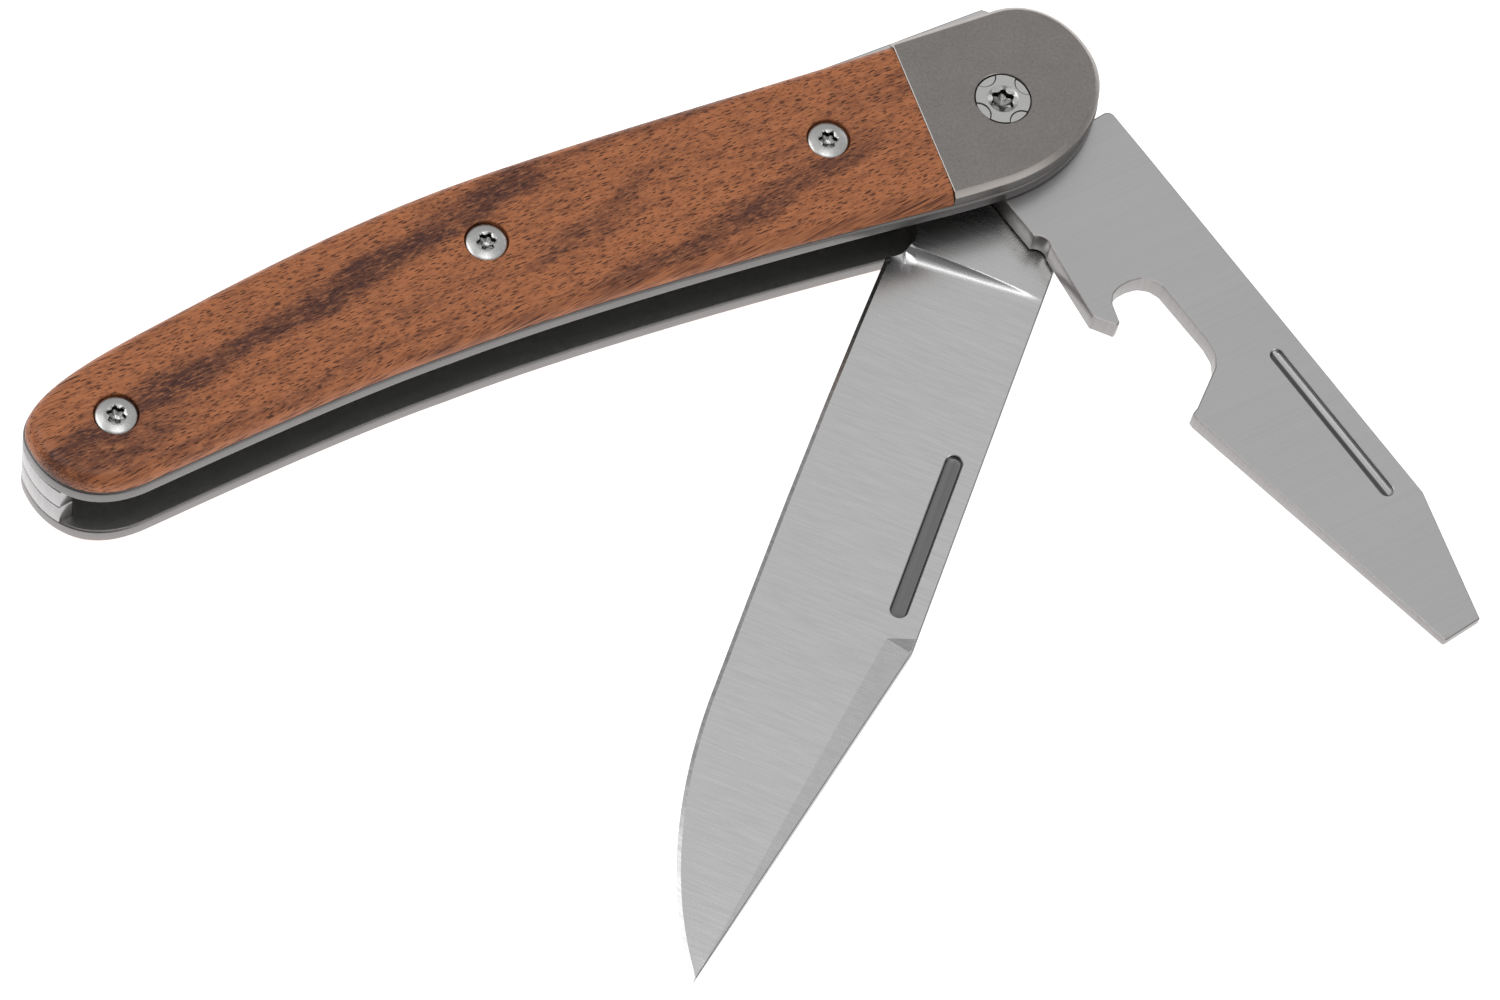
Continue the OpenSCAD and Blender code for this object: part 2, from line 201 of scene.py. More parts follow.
# ---------------------------------------------------------------- meshes
class Shape:
    def __init__(self):
        self.v, self.f, self.m = [], [], []

    def ring(self, xy, z):
        xy = np.array(xy, float)
        z = np.broadcast_to(np.array(z, float), (len(xy),))
        k = len(self.v)
        self.v += [(float(a), float(b), float(c)) for (a, b), c in zip(xy, z)]
        return list(range(k, k + len(xy)))

    def band(self, a, b, m=0, closed=True):
        n = len(a)
        for i in range(n if closed else n - 1):
            j = (i + 1) % n
            self.f.append((a[i], a[j], b[j], b[i]))
            self.m.append(m)

    def stack(self, rings, m=0):
        """Rings of (points, z), joined by bands; the first and last index lists are given back."""
        ids = [self.ring(p, z) for p, z in rings]
        for k, (a, b) in enumerate(zip(ids, ids[1:])):
            self.band(a, b, m[k] if isinstance(m, (list, tuple)) else m)
        return ids

    def fan(self, a, centre, m=0):
        self.v.append(tuple(float(c) for c in centre))
        k = len(self.v) - 1
        for i in range(len(a)):
            self.f.append((a[i], a[(i + 1) % len(a)], k))
            self.m.append(m)

    def cap(self, outer, holes=(), extra=(), lines=(), zf=None, m=0):
        """Triangles over the inside of a ring and outside its holes. extra are loose points, lines are creases."""
        idx, coords, edges = [], [], []
        for loop in [outer, *holes]:
            k = len(coords)
            coords += [Vector(self.v[i][:2]) for i in loop]
            idx += list(loop)
            edges += [(k + i, k + (i + 1) % len(loop)) for i in range(len(loop))]
        for line in lines:
            k = len(coords)
            coords += [Vector((float(a), float(b))) for a, b in line]
            idx += [None] * len(line)
            edges += [(k + i, k + i + 1) for i in range(len(line) - 1)]
        for a, b in extra:
            coords.append(Vector((float(a), float(b))))
            idx.append(None)
        vs, _, fs, ov, _, _ = delaunay_2d_cdt(coords, edges, [], 0, 1e-5)
        xy = np.array([[a.x, a.y] for a in vs])
        fs = np.array([list(f) for f in fs if len(f) == 3])
        tri = xy[fs]
        side = np.hypot(*(tri - np.roll(tri, 1, 1)).transpose(2, 0, 1)).max(1)
        d1, d2 = tri[:, 1] - tri[:, 0], tri[:, 2] - tri[:, 0]
        fs = fs[np.abs(d1[:, 0] * d2[:, 1] - d1[:, 1] * d2[:, 0]) > 0.004 * side]
        mid = xy[fs].mean(1)
        keep = inside(np.array([self.v[i][:2] for i in outer]), mid)
        for h in holes:
            keep &= ~inside(np.array([self.v[i][:2] for i in h]), mid)
        used = sorted(set(fs[keep].ravel()))
        place, new = {}, []
        fixed = [i for i in idx if i is not None]
        at = np.array([self.v[i][:2] for i in fixed])
        for u in used:
            own = [idx[o] for o in ov[u] if idx[o] is not None]
            gap = np.hypot(*(at - xy[u]).T)
            if own:
                place[u] = own[0]
            elif gap.min() < 0.006:
                place[u] = fixed[int(gap.argmin())]
            else:
                new.append(u)
        if new:
            at = xy[new]
            zs = np.full(len(new), self.v[outer[0]][2]) if zf is None else zf(at)
            for u, (x, y), z in zip(new, at, zs):
                self.v.append((float(x), float(y), float(z)))
                place[u] = len(self.v) - 1
        for f in fs[keep]:
            g = tuple(place[i] for i in f)
            if len(set(g)) == 3:
                self.f.append(g)
                self.m.append(m)

    def mesh(self, name, materials, sharp=32.0, move=None):
        v = np.array(self.v, float)
        if move is not None:
            v = move(v)
        me = bpy.data.meshes.new(name)
        me.from_pydata((v * MM).tolist(), [], self.f)
        for mat in materials:
            me.materials.append(mat)
        me.polygons.foreach_set("material_index", self.m)
        me.validate(verbose=False)
        bm = bmesh.new()
        bm.from_mesh(me)
        bmesh.ops.dissolve_degenerate(bm, dist=1e-7, edges=bm.edges)
        bmesh.ops.recalc_face_normals(bm, faces=bm.faces)
        bm.to_mesh(me)
        bm.free()
        me.polygons.foreach_set("use_smooth", [True] * len(me.polygons))
        me.set_sharp_from_angle(angle=math.radians(sharp))
        me.update()
        ob = bpy.data.objects.new(name, me)
        bpy.context.scene.collection.objects.link(ob)
        return ob


def edge_profile(r, n=4):
    """(inset, drop) pairs of a rounded edge, from the flat face to the side."""
    return [(r * (1 - math.sin(a)), r * (1 - math.cos(a))) for a in np.linspace(0, math.pi / 2, n + 1)]


def slab(name, loop, holes, z0, z1, r, materials, sharp=32.0, n=4, hole_r=0.05, side=0, face=0, bottom_r=None,
         bottom_holes=None):
    """A flat plate: a rounded edge all round and round holes, given as (centre, radius)."""
    s = Shape()
    rb = r if bottom_r is None else bottom_r
    top = [(inset(loop, r + 0.05), z1)] + [(inset(loop, i), z1 - d) for i, d in edge_profile(r, n)]
    bot = [(inset(loop, i), z0 + d) for i, d in edge_profile(rb, n)][::-1] + [(inset(loop, rb + 0.05), z0)]
    ids = s.stack(top + bot, [face] + [side] * (len(top + bot) - 3) + [face])
    t_h, b_h = [], []
    for c, hr in holes:
        k = max(24, int(hr * 28))
        rings = [(circle(c, hr + hole_r, k), z1), (circle(c, hr, k), z1 - hole_r),
                 (circle(c, hr, k), z0 + hole_r), (circle(c, hr + hole_r, k), z0)]
        h = s.stack(rings, side)
        t_h.append(h[0])
        b_h.append(h[-1])
    s.cap(ids[0], t_h, m=face)
    s.cap(ids[-1], b_h, m=face)
    return s.mesh(name, materials, sharp)


def twin(ob, name, about=TOTAL):
    """The same piece turned over for the other side."""
    me = ob.data.copy()
    me.name = name
    co = np.zeros(len(me.vertices) * 3)
    me.vertices.foreach_get("co", co)
    co = co.reshape(-1, 3)
    co[:, 2] = about * MM - co[:, 2]
    me.vertices.foreach_set("co", co.ravel())
    me.flip_normals()
    me.update()
    o = bpy.data.objects.new(name, me)
    bpy.context.scene.collection.objects.link(o)
    return o


# ---------------------------------------------------------------- materials
class Mat:
    def __init__(self, name):
        self.mat = bpy.data.materials.new(name)
        self.mat.use_nodes = True
        self.t = self.mat.node_tree
        self.t.nodes.clear()
        self.out = self.t.nodes.new("ShaderNodeOutputMaterial")
        self.bsdf = self.t.nodes.new("ShaderNodeBsdfPrincipled")
        self.t.links.new(self.bsdf.outputs[0], self.out.inputs[0])
        self.co = self.t.nodes.new("ShaderNodeTexCoord").outputs["Object"]

    def link(self, a, b):
        self.t.links.new(a, b)

    def put(self, sock, val):
        if hasattr(val, "is_linked") or isinstance(val, bpy.types.NodeSocket):
            self.link(val, sock)
        else:
            sock.default_value = val

    def set(self, **kw):
        for k, v in kw.items():
            self.put(self.bsdf.inputs[k.replace("_", " ")], v)

    def math(self, op, a, b=0.0, c=None, clamp=False):
        n = self.t.nodes.new("ShaderNodeMath")
        n.operation = op
        n.use_clamp = clamp
        self.put(n.inputs[0], a)
        self.put(n.inputs[1], b)
        if c is not None:
            self.put(n.inputs[2], c)
        return n.outputs[0]

    def axes(self, u, v, w, scale, co=None, offset=(0, 0, 0)):
        """Coordinates along three directions, each with its own scale in cycles per metre."""
        comb = self.t.nodes.new("ShaderNodeCombineXYZ")
        for i, (d, k) in enumerate(zip((u, v, w), scale)):
            n = self.t.nodes.new("ShaderNodeVectorMath")
            n.operation = "DOT_PRODUCT"
            self.link(co or self.co, n.inputs[0])
            n.inputs[1].default_value = [c * k for c in d]
            if offset[i]:
                self.link(self.math("ADD", n.outputs["Value"], float(offset[i])), comb.inputs[i])
            else:
                self.link(n.outputs["Value"], comb.inputs[i])
        return comb.outputs[0]

    def noise(self, vec, detail=3.0, rough=0.5, scale=1.0, dist=0.0):
        n = self.t.nodes.new("ShaderNodeTexNoise")
        self.link(vec, n.inputs["Vector"])
        n.inputs["Scale"].default_value = scale
        n.inputs["Detail"].default_value = detail
        n.inputs["Roughness"].default_value = rough
        n.inputs["Distortion"].default_value = dist
        return n.outputs["Fac"]

    def voronoi(self, vec, feature="F1", rnd=1.0, scale=1.0):
        n = self.t.nodes.new("ShaderNodeTexVoronoi")
        n.feature = feature
        self.link(vec, n.inputs["Vector"])
        n.inputs["Scale"].default_value = scale
        n.inputs["Randomness"].default_value = rnd
        return n.outputs["Distance"]

    def ramp(self, fac, lo, hi, a=0.0, b=1.0, smooth=True):
        n = self.t.nodes.new("ShaderNodeMapRange")
        n.interpolation_type = "SMOOTHSTEP" if smooth else "LINEAR"
        self.link(fac, n.inputs["Value"])
        n.inputs["From Min"].default_value = lo
        n.inputs["From Max"].default_value = hi
        n.inputs["To Min"].default_value = a
        n.inputs["To Max"].default_value = b
        return n.outputs[0]

    def mix(self, fac, a, b, kind="MIX"):
        n = self.t.nodes.new("ShaderNodeMix")
        n.data_type = "RGBA"
        n.blend_type = kind
        ins = [s for s in n.inputs if s.type == "RGBA"]
        self.put(n.inputs[0], fac)
        self.put(ins[0], a if hasattr(a, "is_linked") else (*a, 1.0))
        self.put(ins[1], b if hasattr(b, "is_linked") else (*b, 1.0))
        return [o for o in n.outputs if o.type == "RGBA"][0]

    def bump(self, height, strength, dist, normal=None):
        n = self.t.nodes.new("ShaderNodeBump")
        n.inputs["Strength"].default_value = strength
        n.inputs["Distance"].default_value = dist
        self.link(height, n.inputs["Height"])
        if normal is not None:
            self.link(normal, n.inputs["Normal"])
        self.link(n.outputs[0], self.bsdf.inputs["Normal"])
        return n.outputs[0]

    def wear(self, lo, hi):
        """1 on convex edges, 0 elsewhere."""
        g = self.t.nodes.new("ShaderNodeNewGeometry")
        return self.ramp(g.outputs["Pointiness"], lo, hi)


X, Y, Z = (1, 0, 0), (0, 1, 0), (0, 0, 1)


def brushed(name, tint, across=(0, 1, 0), rough=0.3, lines=4200.0, depth=0.12, vary=0.07, metallic=1.0, aniso=0.0, bands=None):
    """Steel with a fine one-way finish whose lines run along `across`; given bands, ramps across the direction
    bands[0] paint shade and highlight in strips.
    """
    m = Mat(name)
    a = unit(across)
    ref = [0, 0, 1] if abs(a[2]) < 0.9 else [1, 0, 0]
    b = unit(np.cross(ref, a))
    c = np.cross(a, b)
    one = m.noise(m.axes(tuple(a), tuple(b), tuple(c), (24.0, lines, lines)), 1.0, 0.5)
    two = m.noise(m.axes(tuple(a), tuple(b), tuple(c), (12.0, lines * 0.55, lines * 0.55), offset=(5.0, 3.0, 0)), 1.0, 0.5)
    cloud = m.noise(m.axes(X, Y, Z, (60.0, 60.0, 60.0)), 1.0, 0.5)
    grit = m.noise(m.axes(X, Y, Z, (6500.0, 6500.0, 6500.0)), 2.0, 0.6)
    k = m.math("ADD", m.math("MULTIPLY", one, 0.75), m.math("MULTIPLY", two, 0.25))
    shade = m.ramp(k, 0.3, 0.7, 1.0 - vary, 1.0 + vary, smooth=False)
    shade = m.math("MULTIPLY", shade, m.ramp(cloud, 0.3, 0.7, 0.985, 1.015, smooth=False))
    shade = m.math("MULTIPLY", shade, m.ramp(grit, 0.3, 0.7, 0.985, 1.015, smooth=False))
    # painted shade and highlight: strips across bands[0] scale the shade down and up
    if bands:
        side = m.t.nodes.new("ShaderNodeVectorMath")
        side.operation = "DOT_PRODUCT"
        m.link(m.co, side.inputs[0])
        side.inputs[1].default_value = [1000.0 * x for x in bands[0]]
        for lo, hi, start, end in bands[1]:
            shade = m.math("MULTIPLY", shade, m.ramp(side.outputs["Value"], lo, hi, start, end))
    v = m.t.nodes.new("ShaderNodeVectorMath")
    v.operation = "SCALE"
    m.link(m.mix(1.0, tint, (1, 1, 1), "MULTIPLY"), v.inputs[0])
    m.link(shade, v.inputs["Scale"])
    m.set(Base_Color=v.outputs[0], Metallic=metallic, Roughness=m.ramp(k, 0.3, 0.7, rough - 0.012, rough + 0.012, smooth=False))
    m.bump(k, depth, 0.000003)
    return m


def blasted(name, tint, rough=0.45, grain=5200.0, depth=0.25, vary=0.05, metallic=1.0):
    """Metal with a fine even bead-blasted or tumbled surface."""
    m = Mat(name)
    g = m.noise(m.axes(X, Y, Z, (grain, grain, grain)), 3.0, 0.7)
    c = m.noise(m.axes(X, Y, Z, (320.0, 320.0, 320.0)), 2.0, 0.5)
    shade = m.math("MULTIPLY", m.ramp(g, 0.3, 0.7, 1 - vary, 1 + vary, smooth=False), m.ramp(c, 0.3, 0.7, 0.97, 1.03, smooth=False))
    v = m.t.nodes.new("ShaderNodeVectorMath")
    v.operation = "SCALE"
    m.link(m.mix(1.0, tint, (1, 1, 1), "MULTIPLY"), v.inputs[0])
    m.link(shade, v.inputs["Scale"])
    m.set(Base_Color=v.outputs[0], Metallic=metallic, Roughness=m.ramp(g, 0.3, 0.7, rough - 0.06, rough + 0.06, smooth=False))
    m.bump(g, depth, 0.00003)
    return m


def walnut(name):
    """Oiled wood: dark figure in slanted bands, and pores that run at a slant through the board, so they show as
    short dashes on the face and as long lines on the sides."""
    m = Mat(name)
    yaw, tilt = math.radians(2.0), math.radians(12.0)
    u = np.array([math.cos(yaw) * math.cos(tilt), math.sin(yaw) * math.cos(tilt), math.sin(tilt)])
    v = unit(np.cross([0, 0, 1], u))
    w = np.cross(u, v)
    u, v, w = tuple(u), tuple(v), tuple(w)
    # slow sideways drift of the fibres
    drift = m.noise(m.axes(X, Y, Z, (70.0, 70.0, 70.0)), 2.0, 0.5)
    drift = m.math("MULTIPLY", m.math("SUBTRACT", drift, 0.5), 2.2)
    # figure
    sep = m.t.nodes.new("ShaderNodeSeparateXYZ")
    m.link(m.co, sep.inputs[0])
    px, py, pz = sep.outputs
    wob = m.noise(m.axes(X, Y, Z, (60.0, 200.0, 200.0)), 3.0, 0.6)
    wob = m.math("MULTIPLY", m.math("SUBTRACT", wob, 0.5), 0.0052)
    fine = m.noise(m.axes(X, Y, Z, (380.0, 1500.0, 1500.0)), 3.0, 0.65)

    def streak(x0, y0, slope, width, x_lo, x_hi, strength, soft=0.004):
        """A dark band along a line through (x0, y0), between x_lo and x_hi."""
        line = m.math("SUBTRACT", m.math("SUBTRACT", py, y0), m.math("MULTIPLY", m.math("SUBTRACT", px, x0), slope))
        line = m.math("ADD", line, wob)
        line = m.math("ADD", line, m.math("MULTIPLY", m.math("SUBTRACT", fine, 0.5), width * 1.1))
        d = m.math("ABSOLUTE", line)
        k = m.ramp(d, width * 0.15, width, strength, 0.0)
        k = m.math("MULTIPLY", k, m.ramp(px, x_lo - soft, x_lo + soft))
        return m.math("MULTIPLY", k, m.ramp(px, x_hi - soft, x_hi + soft, 1.0, 0.0))

    bands = [streak(-0.0656, 0.0030, 0.205, 0.0024, -0.100, -0.039, 0.95),
             streak(-0.0880, -0.0030, 0.10, 0.0030, -0.100, -0.078, 0.7),
             streak(-0.0360, 0.0030, 0.33, 0.0012, -0.045, -0.030, 0.55),
             streak(-0.0280, -0.0022, 0.14, 0.0018, -0.040, -0.012, 0.75),
             streak(-0.0330, 0.0090, 0.06, 0.0013, -0.048, -0.018, 0.6),
             streak(-0.0700, -0.0035, 0.12, 0.0010, -0.083, -0.052, 0.45),
             streak(-0.0130, 0.0035, 0.20, 0.0010, -0.022, -0.004, 0.35)]
    dark = bands[0]
    for k in bands[1:]:
        dark = m.math("MAXIMUM", dark, k)
    fy = math.radians(13.0)
    fu = (math.cos(fy), math.sin(fy), 0.12)
    fv = (-math.sin(fy), math.cos(fy), -0.25)
    band2 = m.noise(m.axes(fu, fv, Z, (35.0, 420.0, 260.0), offset=(3.1, 7.7, 0)), 4.0, 0.62, dist=0.5)
    blotch = m.noise(m.axes(X, Y, Z, (260.0, 420.0, 420.0)), 3.0, 0.6)
    mott = m.noise(m.axes(u, v, w, (260.0, 1500.0, 1500.0)), 3.0, 0.7)
    dark = m.math("ADD", dark, m.math("MULTIPLY", m.ramp(band2, 0.50, 0.70), 0.42))
    dark = m.math("ADD", dark, m.math("MULTIPLY", m.math("SUBTRACT", blotch, 0.5), 0.7))
    dark = m.math("ADD", dark, m.math("MULTIPLY", m.math("SUBTRACT", mott, 0.5), 0.9), clamp=True)
    fibre = m.noise(m.axes(u, v, w, (320.0, 5200.0, 5200.0)), 4.0, 0.7)
    fibre2 = m.noise(m.axes(u, v, w, (150.0, 1900.0, 1900.0)), 4.0, 0.65)
    col = m.mix(dark, (0.495, 0.171, 0.067), (0.078, 0.026, 0.020))
    col = m.mix(m.ramp(fibre2, 0.44, 0.68, 0.0, 0.5), col, (0.150, 0.048, 0.024))
    col = m.mix(m.ramp(fibre, 0.46, 0.70, 0.0, 0.65), col, (0.580, 0.225, 0.095))
    col = m.mix(m.ramp(fibre, 0.32, 0.47, 0.6, 0.0), col, (0.105, 0.032, 0.018))

    def tubes(cells, r_lo, r_hi, shift):
        """Long thin tubes along the fibres, cut by whatever surface they meet."""
        comb = m.t.nodes.new("ShaderNodeCombineXYZ")
        for i, (d, o) in enumerate(((v, shift), (w, shift * 1.7))):
            n = m.t.nodes.new("ShaderNodeVectorMath")
            n.operation = "DOT_PRODUCT"
            m.link(m.co, n.inputs[0])
            n.inputs[1].default_value = [c * cells for c in d]
            m.link(m.math("ADD", m.math("ADD", n.outputs["Value"], o), m.math("MULTIPLY", drift, 0.6 + i * 0.4)), comb.inputs[i])
        n = m.t.nodes.new("ShaderNodeTexVoronoi")
        n.voronoi_dimensions = "2D"
        n.feature = "F1"
        m.link(comb.outputs[0], n.inputs["Vector"])
        n.inputs["Scale"].default_value = 1.0
        patch = m.noise(m.axes(X, Y, Z, (600.0, 600.0, 600.0), offset=(shift, 0, 0)), 2.0, 0.5)
        size = m.ramp(patch, 0.35, 0.65, r_lo, r_hi, smooth=False)
        return m.ramp(m.math("SUBTRACT", 1.0, m.math("DIVIDE", n.outputs["Distance"], size), clamp=True), 0.0, 0.35)

    pore = tubes(2700.0, 0.12, 0.215, 0.37)
    pore2 = m.math("MULTIPLY", tubes(4300.0, 0.11, 0.24, 5.3), 0.8)
    pores = m.math("MAXIMUM", pore, pore2)
    col = m.mix(m.math("MULTIPLY", pores, 0.84), col, (0.034, 0.012, 0.009))
    m.set(Base_Color=col, Metallic=0.0, Roughness=m.ramp(pores, 0.0, 1.0, 0.40, 0.7))
    m.bsdf.inputs["Specular IOR Level"].default_value = 0.33
    h = m.math("SUBTRACT", m.math("MULTIPLY", fibre, 0.2), pores)
    m.bump(h, 0.3, 0.00004)
    return m




def turned(v, angle):
    """A direction in a tool's own frame, as it lies when the tool is opened by the angle."""
    a = math.radians(180 + angle)
    return (v[0] * math.cos(a) - v[1] * math.sin(a), v[0] * math.sin(a) + v[1] * math.cos(a), 0.0)


M_BLADE = brushed("blade_steel_brushed", (0.66, 0.66, 0.66), across=turned((0.06, 1), BLADE_OPEN), rough=0.27, lines=4200.0, vary=0.05)
M_OPENER = brushed("opener_steel_brushed", (0.56, 0.56, 0.56), across=turned((0.12, 1), OPENER_OPEN), rough=0.30, lines=5200.0, vary=0.028)
M_EDGE = brushed("blade_edge_ground", (0.48, 0.48, 0.48), across=turned((0.5, 1), BLADE_OPEN), rough=0.24, lines=3000.0, vary=0.16)
# painted shade and reflection: the tools' sides are a darker, reddish copy of the blade steel
M_SIDES_PAINTED_SHADE = brushed("tool_sides_painted_shade_and_reflection", (0.33, 0.315, 0.31), across=(0, 0.02, 1), rough=0.32, lines=4000.0)
# painted shade: the blade's nail slot is a dark copy of the blade steel, for the shade in the recess
M_BLADE_NICK_PAINTED_SHADE = brushed("blade_nick_painted_shade", (0.215, 0.215, 0.215), across=turned((1, 0), BLADE_OPEN), rough=0.36, lines=3500.0, vary=0.12)
# painted shade and highlight in the cap lifter's nail slot: a dark tint for the recess, bands that paint shade on its
# lower side and a highlight strip beyond
M_OPENER_NICK_PAINTED_LIGHT = brushed("opener_nick_painted_shade_and_highlight", (0.19, 0.19, 0.19), across=turned((1, 0), OPENER_OPEN), rough=0.36, lines=3500.0, vary=0.12,
                  bands=(turned((0, 1), OPENER_OPEN), [(6.36, 6.50, 0.6, 3.1), (6.84, 6.93, 1.0, 0.45)]))
# painted shade: the near liner is a darker copy of the liner steel
M_NEAR_LINER_PAINTED_SHADE = blasted("near_liner_steel_painted_shade", (0.185, 0.176, 0.174), rough=0.32, grain=5000.0, depth=0.05)
M_LINER = blasted("liner_steel_satin", (0.255, 0.243, 0.240), rough=0.32, grain=5000.0, depth=0.05)
# painted light: the liners' flat faces are tinted lighter than their edges, for light in the dim channel
M_LINER_FACE_PAINTED_LIGHT = blasted("liner_inside_steel_painted_light", (0.42, 0.42, 0.405), rough=0.38, grain=4000.0, depth=0.15)
M_SPRING = brushed("spring_steel_polished", (0.41, 0.40, 0.40), across=(0, 0, 1), rough=0.22, lines=2500.0, vary=0.08)
# painted light: the springs' flat faces are tinted lighter than their sides, for light the bolster and liner keep off
M_SPRING_FACE_PAINTED_LIGHT = brushed("spring_face_ground_painted_light", (0.70, 0.69, 0.69), across=(1, 0.05, 0), rough=0.30, lines=2500.0, vary=0.03)
M_BOLSTER = blasted("bolster_titanium_blasted", (0.285, 0.268, 0.258), rough=0.42, grain=4600.0, vary=0.14, depth=0.35)
M_CHAMFER = blasted("bolster_chamfer_satin", (0.42, 0.39, 0.37), rough=0.34, grain=4600.0, depth=0.15, vary=0.08)
M_SCREW = blasted("screw_steel_tumbled", (0.54, 0.54, 0.535), rough=0.28, grain=3500.0, depth=0.02, vary=0.04)
M_PIVOT = blasted("pivot_steel_satin", (0.62, 0.615, 0.61), rough=0.30, grain=5000.0, depth=0.03, vary=0.04)
# painted shade: socket walls are near-black steel, for the shade inside the recess
M_SOCKET_PAINTED_SHADE = blasted("screw_socket_painted_shade", (0.028, 0.028, 0.027), rough=0.45, grain=3500.0)
# painted shade: dark walls of the pivot head's crescents
M_CREASE_PAINTED_SHADE = blasted("pivot_crescent_wall_painted_shade", (0.07, 0.07, 0.07), rough=0.4, grain=3500.0)
# painted shade: the socket floor is a darker copy of the screw steel
M_SOCKET_FLOOR_PAINTED_SHADE = blasted("screw_socket_floor_painted_shade", (0.26, 0.26, 0.255), rough=0.34, grain=3500.0, depth=0.05)
M_BRONZE = blasted("washer_bronze", (0.50, 0.27, 0.09), rough=0.3, grain=4500.0)
M_WOOD = walnut("walnut_oiled")


# ---------------------------------------------------------------- liners
def liner(name, z0):
    holes = [((0, 0), PIVOT_R + 0.02), *[(c, 0.92) for c in SCREWS], (MID_PIN, 1.01), (TAIL_PIN, 1.01), *[(c, 0.62) for c in DOWELS]]
    # the near liner's sides take the darker copy with painted shade
    ob = slab(name, HANDLE, holes, z0, z0 + LINER_T, 0.28, [M_LINER.mat if z0 < Z_NEAR else M_NEAR_LINER_PAINTED_SHADE.mat, M_LINER_FACE_PAINTED_LIGHT.mat], n=6, hole_r=0.03, side=0, face=1)
    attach(ob, "handle")
    return ob


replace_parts(liner("near_liner_fine", Z_NEAR), "near_liner")
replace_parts(liner("far_liner_fine", SCALE_T), "far_liner")


# ---------------------------------------------------------------- scales
def ring_body(chain, rings, g, holes, name, materials, marks, sharp=30.0):
    """Slab whose rings end on the joint line. holes: (centre, through radius, counterbore radius, depth)."""
    s = Shape()
    ids = []
    for row in rings:
        z, d = row[:2]
        p, n_arc = joint_chain(chain, d, row[2] if len(row) > 2 else g)
        ids.append(s.ring(p, z))
    for k, (a, b) in enumerate(zip(ids, ids[1:])):
        s.band(a, b, marks[k])
    top_h, bot_h = [], []
    z0, z1 = rings[0][0], rings[-1][0]
    for c, thr, cb, depth in holes:
        k = 64
        rr = [(circle(c, cb + 0.06, k), z1), (circle(c, cb, k), z1 - 0.06), (circle(c, cb, k), z1 - depth),
              (circle(c, thr, k), z1 - depth), (circle(c, thr, k), z0)]
        h = s.stack(rr, marks[-1])
        top_h.append(h[0])
        bot_h.append(h[-1])
    s.cap(ids[-1], top_h, m=0)
    s.cap(ids[0], bot_h, m=0)
    return s.mesh(name, materials, sharp)


Z0 = TOTAL - SCALE_T
R_EDGE, INSET = 1.5, 0.15


def wood_rings(edge):
    return [(Z0, edge + 0.13), (Z0 + 0.09, edge + 0.02), (Z0 + 0.12, edge)] + [
        (Z0 + SCALE_T - R_EDGE * (1 - math.sin(a)), edge + R_EDGE * (1 - math.cos(a)))
        for a in np.linspace(0, math.pi / 2, 17)] + [(Z0 + SCALE_T, edge + R_EDGE + 0.08)]


wood = ring_body(REAR, wood_rings(INSET), 0.03, [(c, 1.0, 1.9, 1.0) for c in SCREWS], "near_wood_scale_fine",
                 [M_WOOD.mat], [0] * 24)
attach(wood, "handle")
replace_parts(wood, "near_wood_scale")
under = ring_body(REAR, wood_rings(INSET + 0.2), 0.03, [(c, 1.0, 1.9, 1.0) for c in SCREWS], "far_wood_half",
                  [M_WOOD.mat], [0] * 24)
far_wood = twin(under, "far_wood_scale_fine")
bpy.data.objects.remove(under)
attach(far_wood, "handle")
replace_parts(far_wood, "far_wood_scale")

# ---------------------------------------------------------------- bolsters
CH = 0.45
bol_rings = [(Z0, INSET + 0.13), (Z0 + 0.10, INSET), (TOTAL - CH - 0.05, INSET), (TOTAL - CH + 0.03, INSET + 0.03),
             (TOTAL - 0.05, INSET + CH - 0.03), (TOTAL, INSET + CH + 0.05, 0.10)]
bolster = ring_body(FRONT, bol_rings, 0.03, [((0, 0), 2.02, 2.5, 1.1)], "near_bolster_fine",
                    [M_BOLSTER.mat, M_CHAMFER.mat], [0, 0, 1, 1, 1], sharp=16.0)
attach(bolster, "handle")
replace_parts(bolster, "near_bolster")
far_bolster = twin(bolster, "far_bolster_fine")
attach(far_bolster, "handle")
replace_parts(far_bolster, "far_bolster")

# ---------------------------------------------------------------- springs
NOSE_X, LIFT = 4.3, 1.8
outer = curve([SPINE_FRONT, SPINE_MID, SPINE_REAR, TAIL_TOP, TAIL_LOW], step=0.3)
outer = outer[(outer[:, 0] < NOSE_X - 0.95) & ~((outer[:, 1] < -3.4) & (outer[:, 0] < -60))]
outer = np.vstack([[(NOSE_X - 0.5, 8.57)], outer])
inner = [(-88.75, -3.45), (-87.5, -3.3), (-87.25, -1.2), (-86.1, 0.4), (-83, 1.5), (-79, 3.4), (-74, 5.1), (-68, 6.0),
         (-60, 6.2), (-47, 6.2), (-34, 6.15), (-22, 5.95), (-13, 5.7), (-11.2, 5.5), (-9.6, 4.6), (-9.0, 4.45),
         (-4, 4.42), (0, 4.4), (NOSE_X - 0.5, 4.4), (NOSE_X, 4.8), (NOSE_X, 8.1)]
inner_r = [0.1, 0.1, 1.2, 1.5, 4, 8, 12, 12, 12, 12, 12, 12, 0.8, 0.8, 0.5, 0.5, 0.3, 0.3, 0.3, 0.3, 0.35]
spring_loop = refine(rounded(np.vstack([outer, inner]), [0.0] * len(outer) + inner_r, 0.15), 0.6)


